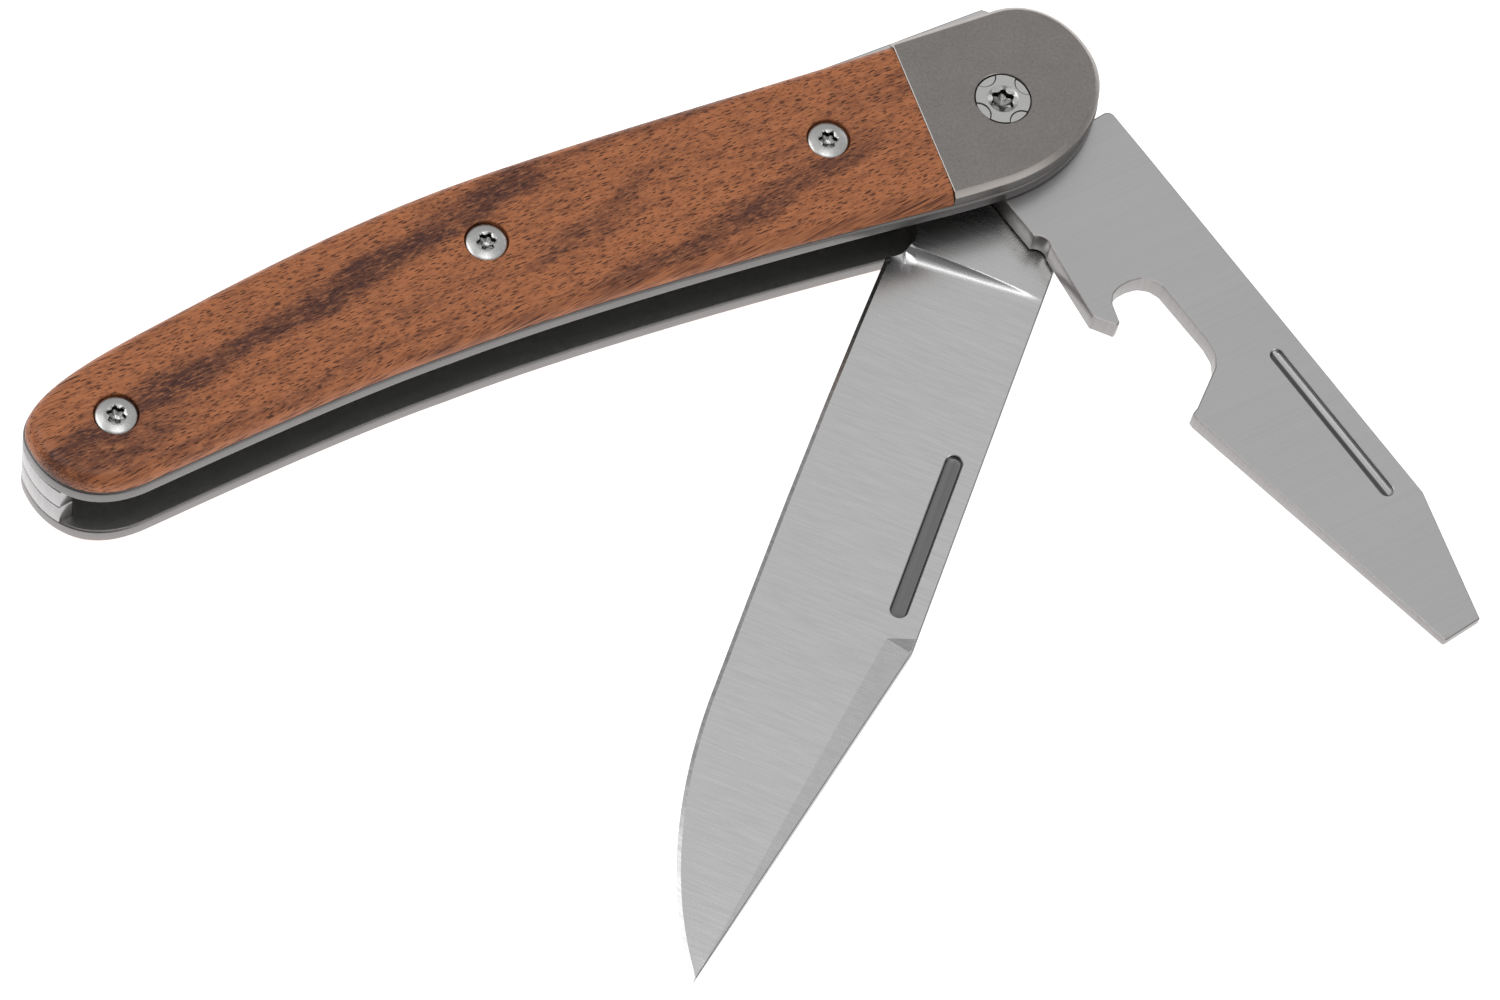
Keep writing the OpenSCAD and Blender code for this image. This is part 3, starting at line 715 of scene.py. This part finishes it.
def bend(p):
    t = np.clip((p[:, 0] - MID_PIN[0]) / (NOSE_X - MID_PIN[0]), 0, None)
    q = p.copy()
    q[:, 0] -= LIFT * 1.5 * (2 * t - t * t) / (NOSE_X - MID_PIN[0]) * (p[:, 1] - 7)
    q[:, 1] += LIFT * (3 * t * t - t ** 3) / 2
    return q


def spring(name, node, z0):
    holes = [(MID_PIN, 1.03), (TAIL_PIN, 1.03)]
    # flat faces take the lighter face tint with painted light
    s = slab(name, bend(spring_loop), holes, z0, z0 + 2.6, 0.12, [M_SPRING.mat, M_SPRING_FACE_PAINTED_LIGHT.mat], n=3, hole_r=0.02, side=0, face=1)
    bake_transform(s)
    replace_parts(s, node)
    return s


spring("near_spring_fine", "near_spring", Z_NEAR - 2.62)
spring("far_spring_fine", "far_spring", Z_FAR + 0.02)


# ---------------------------------------------------------------- tools
def arc(c, r, a0, a1, n):
    t = np.radians(np.linspace(a0, a1, n))
    return np.column_stack([c[0] + r * np.cos(t), c[1] + r * np.sin(t)])


def polydist(line, q):
    """Distance from points q to a polyline."""
    best = np.full(len(q), 1e9)
    for a, b in zip(line[:-1], line[1:]):
        d = b - a
        t = np.clip(((q - a) @ d) / (d @ d), 0, 1)
        best = np.minimum(best, np.hypot(*(q - a - t[:, None] * d).T))
    return best


def tool(name, node, body, loop, half, z_mid, turn, nick, nick_w, nick_depth, edge_r, lines, grid, materials, side_of, face_of, sharp=24.0):
    """A blade: loop is its outline in its own frame, half(points) its half thickness, nick the line of its nail slot."""
    s = Shape()
    caps = []
    for sign in (1, -1):
        h0 = half(loop)
        r = np.minimum(edge_r, h0 * 0.5)
        support = inset(loop, r + 0.05)
        rings = [(support, sign * half(support))]
        for f in (0.0, 0.5, 1.0):
            a = f * math.pi / 2
            p = inset(loop, r * (1 - math.sin(a)))
            rings.append((p, sign * (half(inset(loop, r)) - r * (1 - math.cos(a)))))
        # rounded edges and sides take material 1, the tint with painted shade and a painted reddish reflection
        caps.append(s.stack(rings, [0, 1, 1]))
    s.band(caps[0][-1], caps[1][-1], 1)
    # pivot bore
    bore = s.stack([(circle((0, 0), 2.09, 72), 1.2), (circle((0, 0), 2.04, 72), 1.15), (circle((0, 0), 2.04, 72), -1.15),
                    (circle((0, 0), 2.09, 72), -1.2)], 1)
    for sign, edge, hole in ((1, caps[0][0], bore[0]), (-1, caps[1][0], bore[-1])):
        (ax, ay), (bx, by) = nick
        w = nick_w / 2

        def slot_loop(r):
            a = arc((ax, ay), r, 90, 270, 14)
            b = arc((bx, by), r, -90, 90, 14)
            n = 24
            low = np.column_stack([np.linspace(ax, bx, n)[1:-1], np.full(n - 2, ay - r)])
            top = np.column_stack([np.linspace(bx, ax, n)[1:-1], np.full(n - 2, by + r)])
            return np.vstack([a, low, b, top])

        base = slot_loop(w)
        h = half(base)
        prof = [(w + 0.07, 0.0), (w, 0.06), (w - 0.02, nick_depth * 0.6), (w - 0.14, nick_depth * 0.9), (w - 0.34, nick_depth)]
        rings = [(slot_loop(max(r, 0.05)), sign * (half(slot_loop(max(r, 0.05))) - d)) for r, d in prof]
        # the slot's walls and floor take material 2, a dark tint that paints the recess's shade
        ids = s.stack(rings, [0, 2, 2, 2])
        s.cap(ids[-1], [], zf=lambda q, g=sign: g * (half(q) - nick_depth), m=2)
        s.cap(edge, [hole, ids[0]], extra=grid, lines=lines, zf=lambda q, g=sign: g * half(q), m=0)
    # faces by zone
    v = np.array(s.v)
    mids = np.array([v[list(f)].mean(0) for f in s.f])
    s.m = [int(k) for k in face_of(mids, np.array(s.m))]
    ob = s.mesh(name, materials, sharp)
    ob.data.transform(Matrix.Translation((0, 0, z_mid * MM)) @ Matrix.Rotation(math.radians(180 + turn), 4, "Z"))
    ob.data.update()
    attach(ob, body)
    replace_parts(ob, node)
    return ob


# main blade
EDGE = np.vstack([bez([(84.7, 1.9), (78.5, -2.6), (70, -5.0), (60, -5.15)], 60),
                  [(60, -5.15), (50, -5.2), (40, -5.2), (30, -5.1), (22, -4.95), (14.6, -4.75)]])
EDGE = resample(EDGE, 0.5)
_ex, _ey = EDGE[::-1, 0], EDGE[::-1, 1]
BACK = [(4.55, SEAT), (4.55, 8.6), (5.1, 9.2), (49.9, 9.2), (84.7, 1.9)]
PEAK, SW0 = (49.9, 9.2), (49.84, 6.76)
HE, WEDGE = 0.17, 0.0706
BEVEL_W = 0.34


def grind(q):
    ye = np.interp(q[:, 0], _ex, _ey)
    return HE + WEDGE * (q[:, 1] - ye)


PLUNGE_X, PLUNGE_R = 14.7, 1.5


def blade_half(q):
    q = np.atleast_2d(np.array(q, float))
    x, y = q[:, 0], q[:, 1]
    g = np.minimum(grind(q), 1.2)
    # thinned back
    u = unit(np.array([84.7, 1.9]) - np.array(SW0))
    n = np.array([-u[1], u[0]])
    over = (q - np.array(SW0)) @ n
    sw = g - np.maximum(over, 0) * 0.27
    # its short end face
    t0 = SW0[0] - (y - SW0[1]) * (SW0[0] - 49.0) / 2.44
    t1 = SW0[0] + (y - SW0[1]) * 0.30 / 2.44
    k = np.clip((x - t0) / np.maximum(t1 - t0, 1e-3), 0, 1)
    k = np.where(y > SW0[1], k, np.where(x > SW0[0], 1.0, 0.0))
    g = g + (sw - g) * k
    # plunge: a fillet that rises from the ground face to the flat of the tang
    s = PLUNGE_X - 0.02 * (y - 2) - x
    f = np.where(s <= 0, 0.0, PLUNGE_R - np.sqrt(np.maximum(PLUNGE_R ** 2 - np.clip(s, 0, PLUNGE_R) ** 2, 0)))
    f = np.where(s >= PLUNGE_R, 9.0, f)
    # a soft crest where the fillet meets the flat
    rise = g + f
    h = np.minimum(rise, 1.2) - np.maximum(0.08 - np.abs(rise - 1.2), 0) ** 2 / 0.32
    # the cutting edge's own narrow bevel
    d = polydist(EDGE, q)
    near = x > 13.9
    h = np.where(near, np.minimum(h, 0.02 + d * (HE + WEDGE * BEVEL_W - 0.02) / BEVEL_W), h)
    return np.maximum(h, 0.015)


CHOIL = arc((12.4, -5.25), 2.25, 157.8, 14.0, 30)
blade_loop = np.vstack([
    arc((0, 0), TANG_R, 180 - 48.22, 180 + 48.22, 30)[:-1],
    [(-3.93, -SEAT), (0, -SEAT), (5, -SEAT)], CHOIL, EDGE[::-1],
    [(84.7, 1.9)]])
clip = np.column_stack([np.linspace(84.7, 49.9, 70)[1:-1], np.linspace(1.9, 9.2, 70)[1:-1]])
blade_loop = np.vstack([blade_loop[:-1], clip, [(49.9, 9.2)],
                        np.column_stack([np.linspace(49.0, 15.4, 62), np.full(62, 9.2)]),
                        np.column_stack([np.linspace(15.3, 12.7, 32), np.full(32, 9.2)]),
                        np.column_stack([np.linspace(12.5, 5.6, 14), np.full(14, 9.2)]),
                        rounded([(5.6, 9.2), (4.55, 9.2), (4.55, SEAT + 0.3)], [0, 0.8, 0])[1:],
                        [(4.55, SEAT), (2, SEAT), (0, SEAT), (-2, SEAT)]])


def clean(p, tol=0.03):
    keep = [p[0]]
    for q in p[1:]:
        if np.hypot(*(q - keep[-1])) > tol:
            keep.append(q)
    if np.hypot(*(keep[0] - keep[-1])) <= tol:
        keep.pop()
    return np.array(keep)


blade_loop = clean(blade_loop)
bev = EDGE.copy()
tt = np.gradient(bev, axis=0)
tt /= np.hypot(*tt.T)[:, None]
bev_line = (bev + np.column_stack([tt[:, 1], -tt[:, 0]]) * BEVEL_W)[2:-2]
if not inside(blade_loop, bev_line[20:21])[0]:
    bev_line = (bev - np.column_stack([tt[:, 1], -tt[:, 0]]) * BEVEL_W)[2:-2]
ys = np.linspace(-4.3, 9.02, 60)
plunge_lines = []
for k in (0.0, 0.12, 0.25, 0.38, 0.5, 0.6, 0.7, 0.78, 0.85):
    plunge_lines.append([(PLUNGE_X - 0.02 * (y - 2) - k * PLUNGE_R * 0.98, y) for y in ys if y > -4.1 + 4.2 * (k > 0) * 0.4])
# where the fillet meets the flat of the tang
meet = []
for y in np.linspace(-2.6, 9.02, 50):
    ye = np.interp(PLUNGE_X, _ex, _ey)
    dd = 1.2 - (HE + WEDGE * (y - ye))
    if dd > 0:
        meet.append((PLUNGE_X - 0.02 * (y - 2) - math.sqrt(max(PLUNGE_R ** 2 - (PLUNGE_R - min(dd, PLUNGE_R)) ** 2, 0)), y))
crest = [[(x + k, y) for x, y in meet] for k in (-0.16, -0.11, -0.07, -0.035, 0.035, 0.07, 0.11, 0.16)]
sw_line = [(SW0[0] + (84.0 - SW0[0]) * t, SW0[1] + (1.9 + 0.1 - SW0[1]) * t) for t in np.linspace(0, 1, 50)]
sw_a = [(SW0[0] - (SW0[0] - 49.0) * t, SW0[1] + 2.44 * t) for t in np.linspace(0, 0.93, 8)]
sw_b = [(SW0[0] + 0.30 * t, SW0[1] + 2.44 * t) for t in np.linspace(0.02, 0.9, 8)]
rng = np.random.default_rng(3)
gx, gy = np.meshgrid(np.arange(-5, 84, 0.9), np.arange(-5, 9.2, 0.9))
grid = np.column_stack([gx.ravel(), gy.ravel()]) + rng.uniform(-0.12, 0.12, (gx.size, 2))
ok = inside(inset(blade_loop, 0.5), grid) & (np.hypot(*grid.T) > 2.5)
ok &= ~((grid[:, 0] > 30.8) & (grid[:, 0] < 48.2) & (np.abs(grid[:, 1] - 6.9) < 1.2))
ok &= polydist(np.array(bev_line), grid) > 0.3
ok &= ~((grid[:, 0] > 12.6) & (grid[:, 0] < 15.2))
blade_grid = grid[ok]


def blade_zone(c, m):
    return np.where((m != 2) & (c[:, 0] > 14.2) & (polydist(EDGE, c[:, :2]) < BEVEL_W * 0.97), 3, m)


main_blade = tool("main_blade_fine", "main_blade", "main_blade", blade_loop, blade_half, Z_BLADE, BLADE_OPEN,
                  ((32.0, 6.9), (46.9, 6.9)), 1.5, 0.45, 0.10,
                  [bev_line, *plunge_lines, meet, *crest, sw_line, sw_a, sw_b], blade_grid,
                  [M_BLADE.mat, M_SIDES_PAINTED_SHADE.mat, M_BLADE_NICK_PAINTED_SHADE.mat, M_EDGE.mat], 1, blade_zone, sharp=14.0)

# cap lifter and screwdriver
opener_pts = [(5, -SEAT), (11.06, -SEAT), *[tuple(p) for p in arc((12.1, -4.75), 1.1, 150, 56, 8)],
              (20.02, -4.84), (21.85, -3.65), (21.7, -3.19), (19.9, -2.6), (19.2, -1.95),
              (18.95, -1.0), (19.0, 0.0), (19.3, 1.0), (20.0, 1.75), (20.9, 2.1), (27.0, 2.15), (28.5, 1.9), (29.5, 1.2),
              (31.75, -2.55), (32.0, -3.3), (32.5, -3.35), (60.4, 1.7), (60.4, 5.6), (48.5, 9.0),
              (4.55, 9.0), (4.55, SEAT), (-2, SEAT)]
opener_rad = [0, 0.12, *[0] * 7, 0.3,
              0.12, 0.12, 0.15, 0.8, 0.8,
              1.2, 1.2, 1.2, 0.9, 1.0, 1.2, 1.4, 1.4,
              0.3, 0.2, 0.2, 0.25, 0.15, 1.2,
              0.7, 0.15, 0]
tang_arc = arc((0, 0), TANG_R, 180 - 48.22, 180 + 48.22, 30)
opener_loop = np.vstack([tang_arc, rounded(np.vstack([[(-3.93, -SEAT)], opener_pts]), [0] + opener_rad, 0.15)[1:]])
opener_loop = clean(refine(opener_loop, 0.6))


def opener_half(q):
    q = np.atleast_2d(np.array(q, float))
    return np.clip(1.2 - np.maximum(q[:, 0] - 10, 0) * math.tan(math.radians(0.86)), 0.2, 1.2)


gx, gy = np.meshgrid(np.arange(-5, 60, 1.5), np.arange(-5, 9.2, 1.5))
g2 = np.column_stack([gx.ravel(), gy.ravel()])
ok = inside(inset(opener_loop, 0.6), g2) & (np.hypot(*g2.T) > 2.6)
ok &= ~((g2[:, 0] > 30.4) & (g2[:, 0] < 47.8) & (np.abs(g2[:, 1] - 6.45) < 1.2))
opener = tool("bottle_opener_fine", "bottle_opener", "bottle_opener", opener_loop, opener_half, Z_OPENER, OPENER_OPEN,
              ((31.5, 6.45), (46.6, 6.45)), 1.2, 0.38, 0.12, [[(10.0, -4.0), (10.0, 8.7)]], g2[ok],
              [M_OPENER.mat, M_SIDES_PAINTED_SHADE.mat, M_OPENER_NICK_PAINTED_LIGHT.mat], 1, lambda c, m: m, sharp=24.0)


# ---------------------------------------------------------------- screws
def lobes(r, th):
    """Radius of a six-lobe socket at each angle."""
    k = (1 + np.cos(6 * th)) / 2
    return r * (0.74 + 0.26 * k ** 0.8)


def screw(name, c, turn, z_top, flip=False):
    s = Shape()
    n = 144
    th = np.linspace(0, 2 * math.pi, n, endpoint=False)
    cs = np.column_stack([np.cos(th), np.sin(th)])
    dome = lambda r: -(6.0 - np.sqrt(6.0 ** 2 - np.array(r) ** 2))
    lo = lobes(0.82, th + math.radians(turn))
    rim = 0.86 + 0 * th
    rows = [(0.9 + 0 * th, -4.0), (0.9 + 0 * th, -0.95), (1.80 + 0 * th, -0.95), (1.80 + 0 * th, -0.37), (1.76 + 0 * th, -0.29), (1.68 + 0 * th, dome(1.68)), (1.5 + 0 * th, dome(1.5)),
            (1.3 + 0 * th, dome(1.3)), (1.1 + 0 * th, dome(1.1)), (0.97 + 0 * th, dome(0.97)), (0.9 + 0 * th, dome(0.92) - 0.01), (np.maximum(lo, 0.62) * 0.97 + 0.015, -0.17),
            (lo * 0.95, -0.2), (lo * 0.93, -0.70), (lo * 0.80, -0.74), (0.3 + 0 * th, -0.84), (0.05 + 0 * th, -0.92)]
    rows[0] = (0.9 + 0 * th, -3.05)
    mats = [0] * (len(rows) - 1)
    # painted shade: the socket walls take the near-black socket material
    mats[11] = mats[12] = 1
    # painted shade: the socket floor takes a darker grey than the head
    mats[13] = mats[14] = 3
    ids = [s.ring(cs * r[:, None] + np.array(c), z_top + np.array(z)) for r, z in rows]
    for k, (a, b) in enumerate(zip(ids, ids[1:])):
        s.band(a, b, mats[k])
    s.fan(ids[-1], (c[0], c[1], z_top - 0.93), 3)
    s.fan(ids[0], (c[0], c[1], z_top - 3.05), 0)
    return s


def add_shapes(name, shapes, materials, sharp=30.0):
    whole = Shape()
    for s in shapes:
        k = len(whole.v)
        whole.v += s.v
        whole.f += [tuple(i + k for i in f) for f in s.f]
        whole.m += s.m
    return whole.mesh(name, materials, sharp)


screws = add_shapes("near_scale_screws_fine", [screw("s", c, t, TOTAL - 0.01) for c, t in zip(SCREWS, (24, 14, 40))],
                    [M_SCREW.mat, M_SOCKET_PAINTED_SHADE.mat, M_CREASE_PAINTED_SHADE.mat, M_SOCKET_FLOOR_PAINTED_SHADE.mat])
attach(screws, "handle")
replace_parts(screws, "near_scale_screws")
far_screws = twin(screws, "far_scale_screws_fine")
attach(far_screws, "handle")
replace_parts(far_screws, "far_scale_screws")


def pivot_head(z_top, turn, shank_r, shank_z):
    """Flat head with four shallow crescents at its rim, a countersink and a six-lobe socket."""
    s = Shape()
    cr, cd, dep, run = 1.15, 2.75, 0.09, 0.11
    r1 = HEAD_R - 0.05

    def lens(r):
        """Half angles of a crescent's arc, seen from the head's axis and from the arc's own centre."""
        cx = (r1 ** 2 - r ** 2 + cd ** 2) / (2 * cd)
        y = math.sqrt(r1 ** 2 - cx ** 2)
        return math.atan2(y, cx), math.atan2(y, cd - cx)

    (h_up, i_up), (h_lo, i_lo) = lens(cr), lens(cr - run)
    face, rim, n_arc = [], [], 22
    for k in range(4):
        a = math.radians(turn + 90 * k)
        c = np.array([cd * math.cos(a), cd * math.sin(a)])
        t = np.linspace(i_up, -i_up, n_arc) + a + math.pi
        upper = s.ring(c + cr * np.column_stack([np.cos(t), np.sin(t)]), z_top)
        t = np.linspace(i_lo, -i_lo, n_arc) + a + math.pi
        lower = s.ring(c + (cr - run) * np.column_stack([np.cos(t), np.sin(t)]), z_top - dep)
        # painted shade: the crescent walls take a dark tint
        for i in range(n_arc - 1):
            s.f.append((upper[i], upper[i + 1], lower[i + 1], lower[i]))
            s.m.append(2)
        t_out = np.linspace(a - h_lo, a + h_lo, n_arc)[1:-1]
        out = s.ring(r1 * np.column_stack([np.cos(t_out), np.sin(t_out)]), z_top - dep)
        s.cap([lower[0], *out, lower[-1], *lower[-2:0:-1]], m=0)
        t_rest = np.linspace(a + h_up, a + math.pi / 2 - h_up, 12)[1:-1]
        rest = s.ring(r1 * np.column_stack([np.cos(t_rest), np.sin(t_rest)]), z_top)
        face += [*upper, *rest]
        rim += [(upper[0], a - h_up), (lower[0], a - h_lo), *zip(out, t_out), (lower[-1], a + h_lo), (upper[-1], a + h_up),
                *zip(rest, t_rest)]
    # socket, its walls painted near-black for the shade in it
    n = 144
    th = np.linspace(0, 2 * math.pi, n, endpoint=False)
    cs = np.column_stack([np.cos(th), np.sin(th)])
    lo = lobes(1.08, th)
    rows = [(1.36 + 0 * th, 0.0), (1.30 + 0 * th, -0.04), (np.maximum(lo, 0.86) * 0.98 + 0.02, -0.22), (lo * 0.96, -0.26), (lo * 0.94, -0.86), (lo * 0.80, -0.90), (0.45 + 0 * th, -1.06), (0.05 + 0 * th, -1.18)]
    ids = [s.ring(cs * r[:, None], z_top + z) for r, z in rows]
    # painted shade: the socket's floor cone takes a darker grey than the head
    for k, (a, b) in enumerate(zip(ids, ids[1:])):
        s.band(a, b, 1 if k in (2, 3) else 3 if k > 3 else 0)
    s.fan(ids[-1], (0, 0, z_top - 1.19), 3)
    s.cap(face, [ids[0]], m=0)
    # rim: a small chamfer, then the side
    seq = rim
    edge = s.ring(np.array([[HEAD_R * math.cos(t_), HEAD_R * math.sin(t_)] for _, t_ in seq]), z_top - 0.16)
    for i in range(len(seq)):
        j = (i + 1) % len(seq)
        s.f.append((seq[i][0], seq[j][0], edge[j], edge[i]))
        s.m.append(0)
    t = np.array([t_ for _, t_ in seq])
    ring2 = np.column_stack([np.cos(t), np.sin(t)])
    a = s.ring(HEAD_R * ring2, z_top - 1.0)
    s.band(edge, a, 0)
    b = s.ring(shank_r * ring2, z_top - 1.0)
    s.band(a, b, 0)
    c = s.ring(shank_r * ring2, z_top - shank_z)
    s.band(b, c, 0)
    s.fan(c, (0, 0, z_top - shank_z), 0)
    return s


psc = pivot_head(TOTAL - 0.05, 12, 1.1, 6.0).mesh("pivot_screw_fine", [M_PIVOT.mat, M_SOCKET_PAINTED_SHADE.mat, M_CREASE_PAINTED_SHADE.mat, M_SOCKET_FLOOR_PAINTED_SHADE.mat], 20.0)
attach(psc, "handle")
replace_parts(psc, "pivot_screw")
pb = pivot_head(TOTAL - 0.05, 12, 2.0, 10.4).mesh("pivot_barrel_half", [M_PIVOT.mat, M_SOCKET_PAINTED_SHADE.mat, M_CREASE_PAINTED_SHADE.mat, M_SOCKET_FLOOR_PAINTED_SHADE.mat], 20.0)
pbar = twin(pb, "pivot_barrel_fine")
bpy.data.objects.remove(pb)
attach(pbar, "handle")
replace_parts(pbar, "pivot_barrel")

# ---------------------------------------------------------------- carried-over CAD nodes
for node, mat in (("near_bolster_dowels", M_SCREW), ("far_bolster_dowels", M_SCREW), ("spring_mid_pin", M_SCREW),
                  ("spring_tail_pin", M_SCREW), ("near_washer", M_BRONZE), ("centre_washer", M_BRONZE), ("far_washer", M_BRONZE)):
    me = NODES[node].data
    me.materials.clear()
    me.materials.append(mat.mat)

# ---------------------------------------------------------------- floor, light, camera
fl = bpy.data.meshes.new("floor")
S = 3.0
fl.from_pydata([(-S, -S, 0), (S, -S, 0), (S, S, 0), (-S, S, 0)], [], [(0, 1, 2, 3)])
floor = bpy.data.objects.new("floor", fl)
bpy.context.scene.collection.objects.link(floor)
fm = Mat("floor_white")
fm.set(Base_Color=(0.45, 0.45, 0.45, 1.0), Roughness=0.9)
fm.bsdf.inputs["Emission Color"].default_value = (1, 1, 1, 1)
fm.bsdf.inputs["Emission Strength"].default_value = 0.96
fl.materials.append(fm.mat)

world = bpy.data.worlds.new("studio")
bpy.context.scene.world = world
world.use_nodes = True
wt = world.node_tree
wt.nodes.clear()
wo = wt.nodes.new("ShaderNodeOutputWorld")
wb = wt.nodes.new("ShaderNodeBackground")
tc = wt.nodes.new("ShaderNodeTexCoord")
sx = wt.nodes.new("ShaderNodeSeparateXYZ")
wt.links.new(tc.outputs["Generated"], sx.inputs[0])


def w_range(src, lo, hi, a, b):
    n = wt.nodes.new("ShaderNodeMapRange")
    n.interpolation_type = "SMOOTHSTEP"
    wt.links.new(src, n.inputs["Value"])
    for key, val in (("From Min", lo), ("From Max", hi), ("To Min", a), ("To Max", b)):
        n.inputs[key].default_value = val
    return n.outputs[0]


rise = w_range(sx.outputs["Z"], 0.0, 1.0, 0.30, 0.68)
dot = wt.nodes.new("ShaderNodeVectorMath")
dot.operation = "DOT_PRODUCT"
wt.links.new(tc.outputs["Generated"], dot.inputs[0])
dot.inputs[1].default_value = (-0.85, -0.53, 0.0)
front = w_range(dot.outputs["Value"], 0.05, 0.75, 1.0, 0.35)
dot2 = wt.nodes.new("ShaderNodeVectorMath")
dot2.operation = "DOT_PRODUCT"
wt.links.new(tc.outputs["Generated"], dot2.inputs[0])
dot2.inputs[1].default_value = (0.80, -0.20, 0.56)
right_side = w_range(dot2.outputs["Value"], 0.72, 0.96, 1.0, 0.84)
both = wt.nodes.new("ShaderNodeMath")
both.operation = "MULTIPLY"
wt.links.new(front, both.inputs[0])
wt.links.new(right_side, both.inputs[1])
mul = wt.nodes.new("ShaderNodeMath")
mul.operation = "MULTIPLY"
wt.links.new(rise, mul.inputs[0])
wt.links.new(both.outputs[0], mul.inputs[1])
wt.links.new(mul.outputs[0], wb.inputs[1])
wb.inputs[0].default_value = (1.0, 1.0, 1.0, 1)
wt.links.new(wb.outputs[0], wo.inputs[0])


def area(name, at, size, power, to=(-0.03, -0.02, 0.0)):
    li = bpy.data.lights.new(name, "AREA")
    li.shape = "RECTANGLE"
    li.size, li.size_y = size
    li.energy = power
    ob = bpy.data.objects.new(name, li)
    bpy.context.scene.collection.objects.link(ob)
    ob.location = at
    ob.rotation_euler = (Vector(to) - Vector(at)).to_track_quat("-Z", "Y").to_euler()
    return ob


area("softbox_top", (-0.04, -0.08, 1.0), (0.34, 0.34), 0.72)
area("softbox_front", (0.33, -0.88, 0.42), (0.66, 0.46), 0.86)
area("softbox_left", (-0.62, 0.44, 0.80), (0.70, 0.70), 2.7)
area("softbox_right", (0.95, 0.30, 0.50), (0.5, 0.4), 0.8)

cam_d = bpy.data.cameras.new("camera")
cam_d.sensor_width = 36.0
cam_d.lens = 144.0
cam_d.clip_start, cam_d.clip_end = 0.01, 20.0
cam = bpy.data.objects.new("camera", cam_d)
bpy.context.scene.collection.objects.link(cam)
right = Vector((0.892134, -0.433402, 0.127515))
up = Vector((0.334004, 0.822813, 0.459805))
back = Vector((-0.304201, -0.367617, 0.878817))
rot = Matrix((right, up, back)).transposed().to_4x4()
cam.matrix_world = Matrix.Translation((-0.18775, -0.208474, 0.446085)) @ rot
bpy.context.scene.camera = cam
bpy.context.scene.view_settings.view_transform = "Standard"
bpy.context.scene.view_settings.look = "None"
